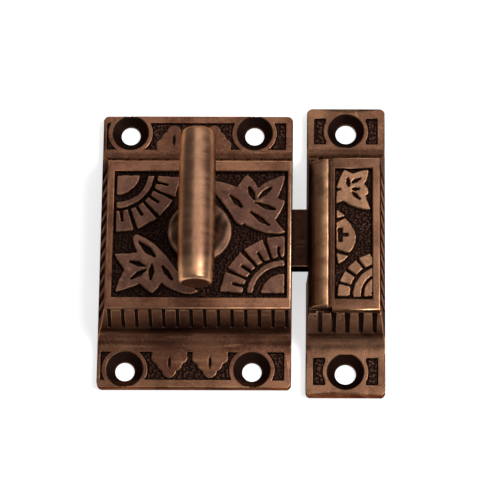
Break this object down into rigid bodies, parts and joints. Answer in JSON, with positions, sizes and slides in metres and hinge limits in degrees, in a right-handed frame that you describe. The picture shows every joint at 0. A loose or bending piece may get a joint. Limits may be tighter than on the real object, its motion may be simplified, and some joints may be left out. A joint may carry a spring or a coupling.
{
  "type": "cupboard latch",
  "caption": "Cast cupboard latch with a T-handle that draws back a sprung bevelled bolt, and a separate keeper, with leaf and fan relief, reeded slopes and countersunk ears.",
  "frame": {"origin": "on the flat back of the case, under the handle's spindle axis", "axes": "+X from the case towards the keeper, +Y along the long sides towards the upper ears, +Z out of the door through the handle's spindle"},
  "size_m": [0.0546, 0.058, 0.0296],
  "materials": {
    "bronzed_brass": "dark bronzed patina, relieved and satin brushed on the high parts",
    "plain_brass": "plain dull brass",
    "steel": "plain satin steel"
  },
  "bodies": {
    "latch_body": {"case": "bronzed_brass", "back_plate": "plain_brass", "back_plate_screws": "steel", "keeper": "bronzed_brass", "bolt_spring": "steel"},
    "handle": {"turn_handle": "bronzed_brass", "cam": "plain_brass", "cam_washer": "plain_brass", "cam_screw": "steel"},
    "bolt": {"latch_bolt": "bronzed_brass"}
  },
  "joints": [
    {"name": "handle_turn", "type": "hinge", "parent": "latch_body", "child": "handle", "pos_m": [0, 0, 0], "axis": [0, 0, 1], "range_deg": [0, 70]},
    {"name": "bolt_slide", "type": "slide", "parent": "latch_body", "child": "bolt", "axis": [-1, 0, 0], "range_m": [0, 0.00596], "stiffness_N_per_m": 200, "springref_m": -0.004, "deforming": ["bolt_spring"]}
  ],
  "couplings": [
    {"joint": "handle_turn", "follows": "bolt_slide", "rad_per_m": 204.8}
  ]
}
